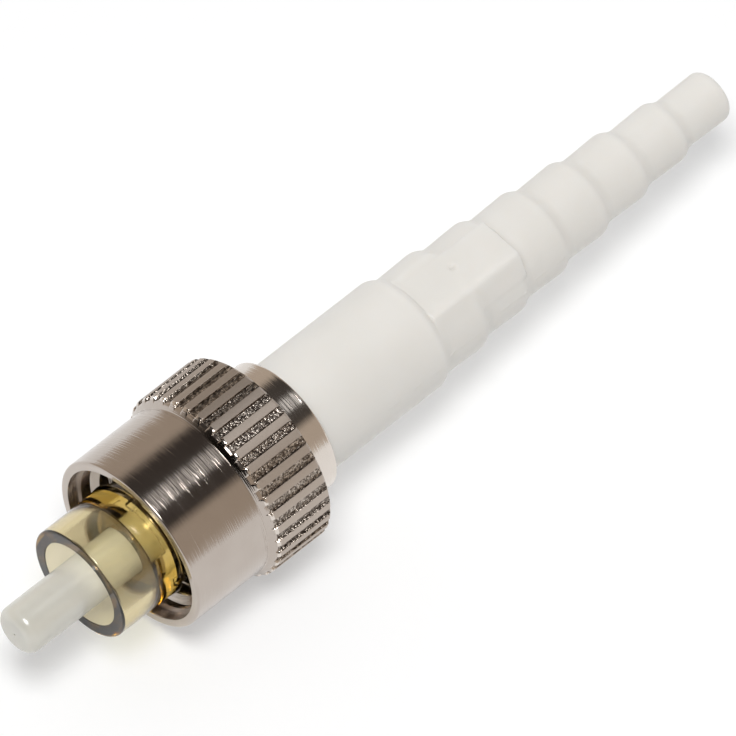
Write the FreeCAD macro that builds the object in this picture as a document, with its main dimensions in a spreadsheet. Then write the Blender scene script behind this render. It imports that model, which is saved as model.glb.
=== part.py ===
"""FC fibre connector: spring-loaded ferrule, clear plug frame, captive knurled nut and stepped boot.

The axis is X. The origin is the centre of the plug frame's front face, +X runs back to the boot
and +Z is up. The nut is drawn back against its stop, and the connector lies on its knurl.
All lengths are in millimetres and angles in degrees.
"""
import FreeCAD, Part
import math
import os
import re
import Sketcher

# Driving sizes, one cell of the sheet each.
SIZES = {
    # Ferrule
    "ferrule_d": 2.5,
    "ferrule_length": 10.5,
    "ferrule_reach": 4.1,
    "ferrule_edge_round": 0.5,
    "ferrule_rear_chamfer": 0.15,
    "fibre_hole_d": 0.126,
    "funnel_d": 0.9,
    "funnel_length": 0.8,
    # Plug frame
    "sleeve_d": 5.94,
    "sleeve_wall": 0.68,
    "sleeve_edge_chamfer": 0.12,
    "cup_depth": 2.6,
    "web_thickness": 1.15,
    "ferrule_clear": 0.05,
    "lip_stand": 0.08,
    "lip_length": 0.55,
    "lip_notch_width": 0.6,
    "lip_notch_depth": 0.25,
    "lip_notch_count": 4,
    "barrel_d": 5.6,
    "barrel_length": 1.55,
    "shoulder_d": 6.8,
    "shoulder_thickness": 1.2,
    "neck_d": 5.2,
    "neck_length": 4.4,
    "chamber_d": 4.3,
    "key_width": 2.1,
    "lug_width": 0.6,
    "lug_reach": 0.45,
    "lug_length": 1.2,
    "lug_count": 2,
    # Ferrule flange
    "flange_clear": 0.1,
    "flange_seat_gap": 0.02,
    "collar_length": 1.7,
    "collar_chamfer": 0.2,
    "hub_d": 3.0,
    "hub_length": 2.5,
    "lug_clear": 0.08,
    "keyway_count": 4,
    "buffer_hole_d": 1.1,
    # Ferrule spring
    "wire_d": 0.4,
    "spring_clear": 0.1,
    "spring_turns": 4,
    # Stop body
    "spigot_length": 1.5,
    "spigot_clear": 0.02,
    "stop_flange_thickness": 0.8,
    "hub_clear": 0.15,
    "hub_pocket_depth": 1.7,
    "tail_d": 4.0,
    "tail_length": 6.3,
    "tail_chamfer": 0.3,
    "tail_groove_depth": 0.18,
    "tail_groove_width": 0.6,
    "tail_groove_pitch": 2.0,
    "tail_groove_count": 2,
    "stop_bore_d": 2.0,
    # Retaining ring
    "ring_thickness": 0.5,
    "ring_clear": 0.05,
    "ring_rim_clear": 0.05,
    "ring_side_clear": 0.03,
    "ring_stop_gap": 0.05,
    "ring_groove_d": 6.9,
    "ring_gap_angle": 60,
    # Coupling nut
    "thread_d": 8.0,
    "thread_depth": 5.2,
    "nut_mouth_step": 0.15,
    "nut_mouth_depth": 0.7,
    "nut_wall": 0.45,
    "nut_rim_chamfer": 0.15,
    "nut_length": 9.9,
    "nut_groove_station": 7.12,
    "nut_barrel_length": 4.48,
    "shoulder_clear": 0.2,
    "nut_lip_thickness": 0.6,
    "nut_slide_clear": 0.12,
    "nut_collar_d": 7.06,
    "nut_collar_chamfer": 0.12,
    "knurl_rise": 0.4,
    "knurl_slope_length": 0.32,
    "knurl_length": 3.35,
    "knurl_count": 36,
    "knurl_groove_depth": 0.14,
    "knurl_groove_width": 0.46,
    "knurl_groove_floor": 0.3,
    # Boot
    "boot_d": 6.0,
    "boot_plain_length": 9.4,
    "boot_fit_clear": 0.02,
    "boot_tail_gap": 0.2,
    "boot_throat_length": 1.2,
    "boot_ring_count": 7,
    "boot_ring_pitch": 2.8,
    "boot_first_ring_d": 5.46,
    "boot_last_ring_d": 2.66,
    "boot_step_length": 0.4,
    "boot_end_chamfer": 0.4,
    "cable_hole_d": 1.1,
    "pad_height": 2.45,
    "pad_near": 1.65,
    "pad_far": 0.77,
    "pad_foot_across": 2.28,
    "pad_foot_height": 1.0,
    "pad_rings": 2,
}

# Places and fits that follow from the sizes. Stations run along +X from the sleeve's front.
PLACES = {
    # Plug frame
    "cup_r": "sleeve_d / 2 - sleeve_wall",
    "web_rear": "cup_depth + web_thickness",
    "web_hole_r": "ferrule_d / 2 + ferrule_clear",
    "shoulder_front": "web_rear + barrel_length",
    "shoulder_rear": "shoulder_front + shoulder_thickness",
    "neck_rear": "shoulder_rear + neck_length",
    "lug_tip_r": "chamber_d / 2 - lug_reach",
    # Ferrule and its flange
    "ferrule_rear": "ferrule_length - ferrule_reach",
    "collar_front": "web_rear + flange_seat_gap",
    "collar_rear": "collar_front + collar_length",
    "collar_r": "chamber_d / 2 - flange_clear",
    "hub_rear": "collar_rear + hub_length",
    # Spring and stop body
    "spring_seat": "neck_rear - spigot_length",
    "spring_mean_r": "(chamber_d - wire_d) / 2 - spring_clear",
    "hub_pocket_r": "hub_d / 2 + hub_clear",
    "hub_pocket_rear": "spring_seat + hub_pocket_depth",
    "stop_flange_rear": "neck_rear + stop_flange_thickness",
    "tail_rear": "stop_flange_rear + tail_length",
    # Retaining ring
    "ring_rear": "neck_rear - ring_stop_gap",
    "ring_front": "ring_rear - ring_thickness",
    # Coupling nut
    "groove_front": "ring_front - ring_side_clear",
    "groove_rear": "ring_rear + ring_side_clear",
    "nut_front": "groove_front - nut_groove_station",
    "nut_rear": "nut_front + nut_length",
    "thread_end": "nut_front + thread_depth",
    "nut_lip_front": "groove_front - nut_lip_thickness",
    "nut_bore_r": "boot_d / 2 + nut_slide_clear",
    "shoulder_bore_r": "shoulder_d / 2 + shoulder_clear",
    "nut_mouth_r": "thread_d / 2 + nut_mouth_step",
    "nut_barrel_r": "nut_mouth_r + nut_wall",
    "nut_barrel_end": "nut_front + nut_barrel_length",
    "knurl_r": "nut_barrel_r + knurl_rise",
    "knurl_front": "nut_barrel_end + knurl_slope_length",
    "knurl_rear": "knurl_front + knurl_length",
    # Boot
    "boot_bore_r": "tail_d / 2 + boot_fit_clear",
    "boot_bore_end": "tail_rear + boot_tail_gap",
    "boot_throat_end": "boot_bore_end + boot_throat_length",
    "boot_plain_end": "stop_flange_rear + boot_plain_length",
    "boot_ring_drop": "(boot_first_ring_d - boot_last_ring_d) / 2 / (boot_ring_count - 1)",
}

FULL_TURN = 360
WIRE_SIDES = 6
TURN_RIGHT = -1
SMALL = 1e-6

doc = FreeCAD.newDocument("fc_fibre_connector")
sheet = doc.addObject("Spreadsheet::Sheet", "Sizes")
for row, (alias, size) in enumerate(SIZES.items(), start=1):
    sheet.set(f"A{row}", alias)
    sheet.set(f"B{row}", str(size))
    sheet.setAlias(f"B{row}", alias)
doc.recompute()


def formula(text):
    """Write named sizes and places as an expression on the sheet's cells."""

    def swap(match):
        word = match.group(0)
        if word in PLACES:
            return f"({formula(PLACES[word])})"
        return f"Sizes.{word}" if word in SIZES else word

    return re.sub(r"[a-z_]+", swap, text)


def value(text):
    """The number that a formula gives."""
    return float(sheet.evalExpression(formula(text)))


def new_body(label):
    """An empty body whose label names its file."""
    body = doc.addObject("PartDesign::Body", label)
    body.Label = label
    return body


def origin_feature(body, role):
    """One of the body's own origin planes or axes."""
    return next(feature for feature in body.Origin.OriginFeatures if feature.Role == role)


def new_sketch(body, name, plane, station=None):
    """A sketch on an origin plane, moved along its normal."""
    sketch = body.newObject("Sketcher::SketchObject", name)
    sketch.AttachmentSupport = [(origin_feature(body, plane), "")]
    sketch.MapMode = "FlatFace"
    if station:
        sketch.setExpression("AttachmentOffset.Base.z", formula(station))
    return sketch


def hold_point(sketch, edge, end, across, up):
    """Tie one end of an edge to two formulas, measured from the sketch's origin."""
    for kind, text, axis in (("DistanceX", across, -2), ("DistanceY", up, -1)):
        if text == "0":
            sketch.addConstraint(Sketcher.Constraint("PointOnObject", edge, end, axis))
            continue
        number = sketch.addConstraint(Sketcher.Constraint(kind, -1, 1, edge, end, value(text)))
        sketch.setExpression(f"Constraints[{number}]", formula(text))


def hold_radius(sketch, edge, text):
    """Tie a circle's or an arc's radius to a formula."""
    number = sketch.addConstraint(Sketcher.Constraint("Radius", edge, value(text)))
    sketch.setExpression(f"Constraints[{number}]", formula(text))


def arc_between(start, end, radius, turn):
    """The shorter arc from start to end, bending left or right."""
    chord = end - start
    left = FreeCAD.Vector(-chord.y, chord.x, 0).normalize()
    rise = math.sqrt(max(radius**2 - (chord.Length / 2) ** 2, 0))
    centre = (start + end) / 2 + left * (rise * turn)
    return Part.Arc(start, centre - left * (radius * turn), end)


def draw_outline(sketch, outline):
    """Draw a closed outline of (across, up) formulas.

    A point with two more entries, a radius and a turn, is reached by an arc.
    """
    points = [FreeCAD.Vector(value(point[0]), value(point[1]), 0) for point in outline]
    count = len(outline)
    ends = []
    for edge, start in enumerate(points):
        following = (edge + 1) % count
        target = outline[following]
        if len(target) == 2:
            sketch.addGeometry(Part.LineSegment(start, points[following]))
        else:
            sketch.addGeometry(arc_between(start, points[following], value(target[2]), target[3]))
        forward = (sketch.getPoint(edge, 1) - start).Length < SMALL
        ends.append((1, 2) if forward else (2, 1))
    for edge, point in enumerate(outline):
        following = (edge + 1) % count
        sketch.addConstraint(
            Sketcher.Constraint("Coincident", edge, ends[edge][1], following, ends[following][0]))
        hold_point(sketch, edge, ends[edge][0], point[0], point[1])
        if len(outline[following]) > 2:
            hold_radius(sketch, edge, outline[following][2])


def turned(body, name, outline, angle=None):
    """Turn an outline of (station, radius) formulas about the X axis, evenly about the outline."""
    sketch = new_sketch(body, f"{name}_outline", "XZ_Plane")
    draw_outline(sketch, outline)
    turn = body.newObject("PartDesign::Revolution", name)
    turn.Profile = sketch
    turn.ReferenceAxis = (sketch, ["H_Axis"])
    turn.Midplane = True
    turn.Angle = FULL_TURN
    if angle:
        turn.setExpression("Angle", formula(angle))
    doc.recompute()
    return turn


def cross_feature(kind, body, name, outline, station, length):
    """Add or cut an outline of (y, z) formulas from a station back along +X."""
    before = body.Shape.Volume
    sketch = new_sketch(body, f"{name}_outline", "YZ_Plane", station)
    draw_outline(sketch, outline)
    feature = body.newObject(f"PartDesign::{kind}", name)
    feature.Profile = sketch
    feature.Reversed = kind == "Pocket"
    feature.setExpression("Length", formula(length))
    doc.recompute()
    if abs(body.Shape.Volume - before) < SMALL:
        raise RuntimeError(f"{name} changed nothing on {body.Label}")
    return feature


def around(body, feature, name, count):
    """Repeat a feature evenly about the X axis."""
    pattern = body.newObject("PartDesign::PolarPattern", name)
    pattern.Originals = [feature]
    pattern.Axis = (origin_feature(body, "X_Axis"), [""])
    pattern.Angle = FULL_TURN
    pattern.setExpression("Occurrences", formula(count))
    body.Tip = pattern
    doc.recompute()
    return pattern


def rectangle(half_width, low, high):
    """A rectangle about the Z axis, between two heights."""
    left = f"-({half_width})"
    return [(left, low), (half_width, low), (half_width, high), (left, high)]


def make_ferrule():
    """Zirconia ferrule with a rounded end, a fibre hole and a funnel at its rear."""
    body = new_body("ferrule")
    turned(body, "ferrule_blank", [
        ("-ferrule_reach", "fibre_hole_d / 2"),
        ("-ferrule_reach", "ferrule_d / 2 - ferrule_edge_round"),
        ("ferrule_edge_round - ferrule_reach", "ferrule_d / 2", "ferrule_edge_round", TURN_RIGHT),
        ("ferrule_rear - ferrule_rear_chamfer", "ferrule_d / 2"),
        ("ferrule_rear", "ferrule_d / 2 - ferrule_rear_chamfer"),
        ("ferrule_rear", "funnel_d / 2"),
        ("ferrule_rear - funnel_length", "fibre_hole_d / 2"),
    ])
    return body


def make_ferrule_flange():
    """Metal flange pressed on the ferrule, with keyways that stop it turning in the frame."""
    body = new_body("ferrule_flange")
    turned(body, "flange_blank", [
        ("collar_front", "ferrule_d / 2"),
        ("collar_front", "collar_r - collar_chamfer"),
        ("collar_front + collar_chamfer", "collar_r"),
        ("collar_rear", "collar_r"),
        ("collar_rear", "hub_d / 2"),
        ("hub_rear", "hub_d / 2"),
        ("hub_rear", "buffer_hole_d / 2"),
        ("ferrule_rear", "buffer_hole_d / 2"),
        ("ferrule_rear", "ferrule_d / 2"),
    ])
    keyway = cross_feature(
        "Pocket", body, "keyway",
        rectangle("lug_width / 2 + lug_clear", "lug_tip_r - lug_clear", "chamber_d / 2"),
        "collar_front", "collar_length")
    around(body, keyway, "keyways", "keyway_count")
    return body


def make_ferrule_spring():
    """Compression spring of tilted half turns, each tangent to the next, from wire with a few flats."""
    spring = doc.addObject("Part::Feature", "ferrule_spring")
    spring.Label = "ferrule_spring"
    radius = value("spring_mean_r")
    half_count = 2 * int(value("spring_turns"))
    first = value("collar_rear + wire_d / 2")
    rise = (value("spring_seat - wire_d / 2") - first) / half_count
    wire_r = FreeCAD.Vector(value("wire_d / 2"), 0, 0)
    corners = []
    for corner in range(WIRE_SIDES + 1):
        about_wire = FreeCAD.Rotation(FreeCAD.Vector(0, 1, 0), FULL_TURN * corner / WIRE_SIDES)
        corners.append(FreeCAD.Vector(first, 0, radius) + about_wire.multVec(wire_r))
    halves = []
    for half in range(half_count):
        side = 1 if half % 2 == 0 else -1
        centre = FreeCAD.Vector(first + (half + 0.5) * rise, 0, 0)
        to_start = FreeCAD.Vector(-rise / 2, 0, side * radius)
        axle = to_start.cross(FreeCAD.Vector(0, side, 0)).normalize()
        section = Part.Face(Part.makePolygon(corners))
        halves.append(section.revolve(centre, axle, FULL_TURN / 2))
        half_turn = FreeCAD.Placement(FreeCAD.Vector(), FreeCAD.Rotation(axle, FULL_TURN / 2), centre)
        corners = [half_turn.multVec(corner) for corner in corners]
    spring.Shape = halves[0].multiFuse(halves[1:])
    return spring


def make_plug_frame():
    """Clear moulded frame: sleeve, web, keyed barrel, shoulder and a neck for the nut's ring."""
    body = new_body("plug_frame")
    turned(body, "frame_blank", [
        ("0", "cup_r"),
        ("0", "sleeve_d / 2 - sleeve_edge_chamfer"),
        ("sleeve_edge_chamfer", "sleeve_d / 2"),
        ("web_rear - lip_length", "sleeve_d / 2"),
        ("web_rear - lip_stand", "sleeve_d / 2 + lip_stand"),
        ("web_rear", "sleeve_d / 2"),
        ("web_rear", "barrel_d / 2"),
        ("shoulder_front", "barrel_d / 2"),
        ("shoulder_front", "shoulder_d / 2"),
        ("shoulder_rear", "shoulder_d / 2"),
        ("shoulder_rear", "neck_d / 2"),
        ("neck_rear", "neck_d / 2"),
        ("neck_rear", "chamber_d / 2"),
        ("web_rear", "chamber_d / 2"),
        ("web_rear", "web_hole_r"),
        ("cup_depth", "web_hole_r"),
        ("cup_depth", "cup_r"),
    ])
    notch = cross_feature(
        "Pocket", body, "lip_notch",
        rectangle("lip_notch_width / 2", "sleeve_d / 2 + lip_stand - lip_notch_depth",
                  "sleeve_d / 2 + 2 * lip_stand"),
        "web_rear - lip_length", "lip_length")
    around(body, notch, "lip_notches", "lip_notch_count")
    cross_feature(
        "Pad", body, "key",
        rectangle("key_width / 2", "-shoulder_d / 2", "-(chamber_d + barrel_d) / 4"),
        "web_rear", "barrel_length")
    lug = cross_feature(
        "Pad", body, "lug",
        rectangle("lug_width / 2", "lug_tip_r", "(chamber_d + neck_d) / 4"),
        "web_rear", "lug_length")
    around(body, lug, "lugs", "lug_count")
    return body


def make_stop_body():
    """Turned body that closes the frame, seats the spring and carries the boot on a grooved tail."""
    body = new_body("stop_body")
    outline = [
        ("spring_seat", "hub_pocket_r"),
        ("spring_seat", "chamber_d / 2 - spigot_clear"),
        ("neck_rear", "chamber_d / 2 - spigot_clear"),
        ("neck_rear", "boot_d / 2"),
        ("stop_flange_rear", "boot_d / 2"),
        ("stop_flange_rear", "tail_d / 2"),
    ]
    for groove in range(1, int(value("tail_groove_count")) + 1):
        front = f"stop_flange_rear + {groove} * tail_groove_pitch"
        outline += [
            (front, "tail_d / 2"),
            (front, "tail_d / 2 - tail_groove_depth"),
            (f"{front} + tail_groove_width", "tail_d / 2 - tail_groove_depth"),
            (f"{front} + tail_groove_width", "tail_d / 2"),
        ]
    outline += [
        ("tail_rear - tail_chamfer", "tail_d / 2"),
        ("tail_rear", "tail_d / 2 - tail_chamfer"),
        ("tail_rear", "stop_bore_d / 2"),
        ("hub_pocket_rear", "stop_bore_d / 2"),
        ("hub_pocket_rear", "hub_pocket_r"),
    ]
    turned(body, "stop_blank", outline)
    return body


def make_retaining_ring():
    """Open ring that snaps into the nut's groove and rides on the frame's neck, with its gap at the top."""
    body = new_body("retaining_ring")
    inner, outer = "-(neck_d / 2 + ring_clear)", "-(ring_groove_d / 2 - ring_rim_clear)"
    turned(body, "ring_arc", [
        ("ring_front", inner),
        ("ring_front", outer),
        ("ring_rear", outer),
        ("ring_rear", inner),
    ], "360 - ring_gap_angle")
    return body


def make_coupling_nut():
    """Knurled coupling nut, bored for its thread, the frame's shoulder and the retaining ring."""
    body = new_body("coupling_nut")
    turned(body, "nut_blank", [
        ("nut_front", "nut_mouth_r"),
        ("nut_front", "nut_barrel_r - nut_rim_chamfer"),
        ("nut_front + nut_rim_chamfer", "nut_barrel_r"),
        ("nut_barrel_end", "nut_barrel_r"),
        ("knurl_front", "knurl_r"),
        ("knurl_rear", "knurl_r"),
        ("knurl_rear", "nut_collar_d / 2"),
        ("nut_rear - nut_collar_chamfer", "nut_collar_d / 2"),
        ("nut_rear", "nut_collar_d / 2 - nut_collar_chamfer"),
        ("nut_rear", "nut_bore_r"),
        ("groove_rear", "nut_bore_r"),
        ("groove_rear", "ring_groove_d / 2"),
        ("groove_front", "ring_groove_d / 2"),
        ("groove_front", "nut_bore_r"),
        ("nut_lip_front", "nut_bore_r"),
        ("nut_lip_front", "shoulder_bore_r"),
        ("thread_end", "shoulder_bore_r"),
        ("thread_end", "thread_d / 2"),
        ("nut_front + nut_mouth_depth", "thread_d / 2"),
        ("nut_front + nut_mouth_depth", "nut_mouth_r"),
    ])
    groove = cross_feature(
        "Pocket", body, "knurl_groove",
        [
            ("-knurl_groove_floor / 2", "knurl_r - knurl_groove_depth"),
            ("knurl_groove_floor / 2", "knurl_r - knurl_groove_depth"),
            ("knurl_groove_width / 2", "knurl_r"),
            ("-knurl_groove_width / 2", "knurl_r"),
        ],
        "nut_barrel_end", "knurl_rear - nut_barrel_end")
    around(body, groove, "knurl", "knurl_count")
    return body


def make_boot():
    """Strain-relief boot: plain front, rings that step down to the cable, and a flat pad on top."""
    body = new_body("boot")
    outline = [
        ("stop_flange_rear", "boot_bore_r"),
        ("stop_flange_rear", "boot_d / 2"),
        ("boot_plain_end - boot_step_length", "boot_d / 2"),
    ]
    last_ring = int(value("boot_ring_count")) - 1
    for ring in range(last_ring + 1):
        front = f"boot_plain_end + {ring} * boot_ring_pitch"
        rear = f"boot_plain_end + {ring + 1} * boot_ring_pitch"
        radius = f"boot_first_ring_d / 2 - {ring} * boot_ring_drop"
        outline.append((front, radius))
        if ring < last_ring:
            outline.append((f"{rear} - boot_step_length", radius))
    outline += [
        (f"{rear} - boot_end_chamfer", "boot_last_ring_d / 2"),
        (rear, "boot_last_ring_d / 2 - boot_end_chamfer"),
        (rear, "cable_hole_d / 2"),
        ("boot_throat_end", "cable_hole_d / 2"),
        ("boot_bore_end", "boot_bore_r"),
    ]
    turned(body, "boot_blank", outline)
    pad_length = "pad_rings * boot_ring_pitch"
    cross_feature(
        "Pocket", body, "pad_flat", rectangle("boot_d / 2", "pad_height", "boot_d / 2"),
        "boot_plain_end", pad_length)
    cross_feature(
        "Pad", body, "pad",
        [
            ("pad_far", "pad_foot_height"),
            ("pad_far", "pad_height"),
            ("-pad_near", "pad_height"),
            ("-pad_foot_across", "pad_foot_height"),
        ],
        "boot_plain_end", f"{pad_length} - boot_step_length")
    return body


pieces = [
    make_ferrule(),
    make_ferrule_flange(),
    make_ferrule_spring(),
    make_plug_frame(),
    make_stop_body(),
    make_retaining_ring(),
    make_coupling_nut(),
    make_boot(),
]
doc.recompute()

for item in doc.Objects:
    if "Invalid" in item.State or "Error" in item.State:
        raise RuntimeError(f"{item.Label} did not recompute: {item.State}")
for piece in pieces:
    shape = piece.Shape
    if shape.isNull() or not shape.isValid() or len(shape.Solids) != 1:
        raise RuntimeError(f"{piece.Label} is not one sound solid")

os.makedirs("parts", exist_ok=True)
for piece in pieces:
    piece.Shape.exportStep(f"parts/{piece.Label}.step")
    box = piece.Shape.BoundBox
    print(f"{piece.Label}: {piece.Shape.Volume:.3f} mm3, x {box.XMin:.3f} to {box.XMax:.3f}")
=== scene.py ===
import math

import bmesh
import bpy
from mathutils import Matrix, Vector


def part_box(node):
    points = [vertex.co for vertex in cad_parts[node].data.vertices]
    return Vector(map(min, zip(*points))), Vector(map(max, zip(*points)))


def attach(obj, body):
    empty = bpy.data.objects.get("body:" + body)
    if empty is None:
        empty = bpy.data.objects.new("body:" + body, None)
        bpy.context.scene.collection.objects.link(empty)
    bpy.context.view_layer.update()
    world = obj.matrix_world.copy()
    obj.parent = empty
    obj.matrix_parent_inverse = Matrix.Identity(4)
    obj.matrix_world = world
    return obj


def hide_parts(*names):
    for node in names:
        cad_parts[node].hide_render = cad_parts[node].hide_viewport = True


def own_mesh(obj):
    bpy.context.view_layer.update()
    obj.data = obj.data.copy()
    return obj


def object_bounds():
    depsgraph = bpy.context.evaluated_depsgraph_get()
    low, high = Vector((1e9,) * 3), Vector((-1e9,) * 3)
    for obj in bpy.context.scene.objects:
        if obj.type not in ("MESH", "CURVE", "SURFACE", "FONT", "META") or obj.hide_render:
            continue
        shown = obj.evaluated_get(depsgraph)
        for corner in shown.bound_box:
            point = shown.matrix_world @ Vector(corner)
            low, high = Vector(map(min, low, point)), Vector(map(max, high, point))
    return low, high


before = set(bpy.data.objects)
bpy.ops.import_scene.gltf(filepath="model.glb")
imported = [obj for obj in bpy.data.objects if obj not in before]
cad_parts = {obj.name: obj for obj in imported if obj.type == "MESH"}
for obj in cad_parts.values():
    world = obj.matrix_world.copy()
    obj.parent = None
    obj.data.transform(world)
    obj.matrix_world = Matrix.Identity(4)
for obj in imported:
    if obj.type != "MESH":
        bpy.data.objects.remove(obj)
cad_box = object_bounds()

# The ferrule: a zirconia pin, ground and polished, with a rounded front edge and a fine hole for the fibre.
# It is pressed into a metal flange, floats on a spring and is the part that meets the other plug.
# Every piece is sized in millimetres, along and about the plug's axis.
MM = 0.001
FULL_TURN = 360
ferrule_low, ferrule_high = (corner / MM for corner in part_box("ferrule"))
FERRULE_R = ferrule_high.z
FERRULE_EDGE = 0.5
FERRULE_REAR_BREAK = 0.15
FIBRE_HOLE_R = 0.063
FUNNEL_R = 0.45
FUNNEL_LENGTH = 0.8
FERRULE_SIDES = 160
FERRULE_ROUND_STEPS = 10
ROUND_STEPS = 6
ROUND_MARGIN = 0.02
SAME_SPOT = 1e-5
SMOOTH_BELOW = math.radians(34)


def rounded(corners, steps=ROUND_STEPS):
    """Points along a closed outline of (station, radius, round) corners, each round drawn as an arc.

    A point close to each end of an arc keeps the shading of the long faces beside it straight.
    """
    points = []
    for number, (station, radius, size) in enumerate(corners):
        corner = Vector((station, radius, 0))
        if not size:
            points.append((station, radius))
            continue
        to_last = Vector((*corners[number - 1][:2], 0)) - corner
        to_next = Vector((*corners[(number + 1) % len(corners)][:2], 0)) - corner
        length_back, length_on = to_last.length, to_next.length
        to_last.normalize()
        to_next.normalize()
        half = to_last.angle(to_next) / 2
        reach = size / math.tan(half)
        centre = corner + (to_last + to_next).normalized() * (size / math.sin(half))
        first = (corner + to_last * reach - centre).normalized()
        last = (corner + to_next * reach - centre).normalized()
        spots = [centre + first.slerp(last, step / steps) * size for step in range(steps + 1)]
        if length_back > 2 * (reach + ROUND_MARGIN):
            spots.insert(0, corner + to_last * (reach + ROUND_MARGIN))
        if length_on > 2 * (reach + ROUND_MARGIN):
            spots.append(corner + to_next * (reach + ROUND_MARGIN))
        points += [(spot.x, spot.y) for spot in spots]
    return points


def even(count):
    """Angles of that many even steps round the axis, in degrees."""
    return [FULL_TURN * step / count for step in range(count)]


def skinned(name, sections, ring):
    """A smooth object through sections of (station, radius, turn) spots, turned from +Z towards -Y.

    A ring joins its last section to its first. Anything else is closed by a face at each end.
    Only edges with a real corner are sharp.
    """
    work = bmesh.new()
    rows = [[
        work.verts.new((station * MM, -radius * math.sin(turn) * MM, radius * math.cos(turn) * MM))
        for station, radius, turn in section] for section in sections]
    for number in range(len(rows) - (0 if ring else 1)):
        here, following = rows[number], rows[(number + 1) % len(rows)]
        for spot in range(len(here)):
            work.faces.new((here[spot - 1], here[spot], following[spot], following[spot - 1]))
    if not ring:
        work.faces.new(rows[0])
        work.faces.new(rows[-1])
    bmesh.ops.remove_doubles(work, verts=work.verts, dist=SAME_SPOT * MM)
    bmesh.ops.recalc_face_normals(work, faces=work.faces)
    mesh = bpy.data.meshes.new(name)
    work.to_mesh(mesh)
    work.free()
    mesh.shade_smooth()
    mesh.set_sharp_from_angle(angle=SMOOTH_BELOW)
    piece = bpy.data.objects.new(name, mesh)
    bpy.context.scene.collection.objects.link(piece)
    return piece


def turned(name, outline, angles, reshape=None, ring=True):
    """An object from a closed outline turned about the X axis. reshape moves each spot for its angle."""
    sections = []
    for angle in angles:
        spots = [reshape(*point, angle) if reshape else point for point in outline]
        sections.append([(station, radius, math.radians(angle)) for station, radius in spots])
    return skinned(name, sections, ring)


def linear(colour):
    """A hex sRGB colour as linear light, with full alpha."""
    parts = [int(colour[start:start + 2], 16) / 255 for start in (1, 3, 5)]
    return [*(part / 12.92 if part <= 0.04045 else ((part + 0.055) / 1.055) ** 2.4 for part in parts), 1]


def add(tree, kind, inputs, **settings):
    """Add a node, set its settings, and give each input a value or a link."""
    made = tree.nodes.new(kind)
    for setting, choice in settings.items():
        setattr(made, setting, choice)
    for socket, given in inputs.items():
        if isinstance(given, bpy.types.NodeSocket):
            tree.links.new(given, made.inputs[socket])
        else:
            made.inputs[socket].default_value = given
    return made


def new_material(name):
    """An empty node material."""
    material = bpy.data.materials.new(name)
    material.use_nodes = True
    material.node_tree.nodes.clear()
    return material


# Zirconia, ground and polished: dense milky white that light enters a little way, with a hard gloss.
zirconia = new_material("zirconia")
tree = zirconia.node_tree
place = add(tree, "ShaderNodeTexCoord", {})
clouds = add(tree, "ShaderNodeTexNoise", {
    "Vector": place.outputs["Object"], "Scale": 1 / (0.9 * MM), "Detail": 3})
tone = add(tree, "ShaderNodeMix", {
    "Factor": clouds.outputs["Fac"], "A": linear("#CBC8BD"), "B": linear("#D6D3C9")}, data_type="RGBA")
polish = add(tree, "ShaderNodeTexNoise", {
    "Vector": place.outputs["Object"], "Scale": 1 / (0.25 * MM), "Detail": 2})
gloss = add(tree, "ShaderNodeMapRange", {"Value": polish.outputs["Fac"], "To Min": 0.16, "To Max": 0.3})
skin = add(tree, "ShaderNodeBsdfPrincipled", {
    "Base Color": tone.outputs["Result"], "Roughness": gloss.outputs["Result"], "IOR": 1.9,
    "Subsurface Weight": 0.35, "Subsurface Radius": (1.0, 0.95, 0.85), "Subsurface Scale": 0.5 * MM})
add(tree, "ShaderNodeOutputMaterial", {"Surface": skin.outputs["BSDF"]})

ferrule = turned("ferrule_pin", rounded([
    (ferrule_low.x, FIBRE_HOLE_R, 0),
    (ferrule_low.x, FERRULE_R, FERRULE_EDGE),
    (ferrule_high.x, FERRULE_R, FERRULE_REAR_BREAK),
    (ferrule_high.x, FUNNEL_R, 0),
    (ferrule_high.x - FUNNEL_LENGTH, FIBRE_HOLE_R, 0),
], FERRULE_ROUND_STEPS), even(FERRULE_SIDES))
ferrule.data.materials.append(zirconia)
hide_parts("ferrule")
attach(ferrule, "ferrule_group")

# The ferrule flange: a turned brass collar and hub, nickel plated, pressed on the ferrule's rear.
# The frame's two lugs lie in two of the collar's four keyways, so that the ferrule can't turn.
flange_low, flange_high = (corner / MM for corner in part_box("ferrule_flange"))
COLLAR_R = 2.05
COLLAR_LENGTH = 1.7
COLLAR_BREAK = 0.2
COLLAR_EDGE = 0.05
HUB_R = 1.5
HUB_EDGE = 0.1
BUFFER_HOLE_R = 0.55
KEYWAY_HALF_WIDTH = 0.38
KEYWAY_FLOOR_R = 1.62
KEYWAY_COUNT = 4
METAL_SIDES = 144
WALL_ANGLE = 0.02
collar_rear = flange_low.x + COLLAR_LENGTH


def windows(count, half_width, radius, first=0):
    """Middle angles and half angle of even windows of a half width, at a radius."""
    half = math.degrees(math.asin(half_width / radius))
    return [first + FULL_TURN * number / count for number in range(count)], half


def off_middle(angle, middle):
    """How far an angle lies from a middle angle, from -180 to 180 degrees."""
    return (angle - middle + FULL_TURN / 2) % FULL_TURN - FULL_TURN / 2


def with_walls(angles, *window_sets):
    """The angles with a close pair added at both walls of every window."""
    found = set(angles)
    for middles, half in window_sets:
        for middle in middles:
            for wall in (middle - half, middle + half):
                found.update(((wall - WALL_ANGLE) % FULL_TURN, (wall + WALL_ANGLE) % FULL_TURN))
    return sorted(found)


def inside(angle, window_set):
    """Whether an angle lies in one of the windows."""
    middles, half = window_set
    return any(abs(off_middle(angle, middle)) < half for middle in middles)


keyways = windows(KEYWAY_COUNT, KEYWAY_HALF_WIDTH, COLLAR_R)


def cut_keyways(station, radius, angle):
    """Lower the collar to the keyway floor inside each keyway."""
    if station <= collar_rear and radius > KEYWAY_FLOOR_R and inside(angle, keyways):
        return station, KEYWAY_FLOOR_R
    return station, radius


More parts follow.
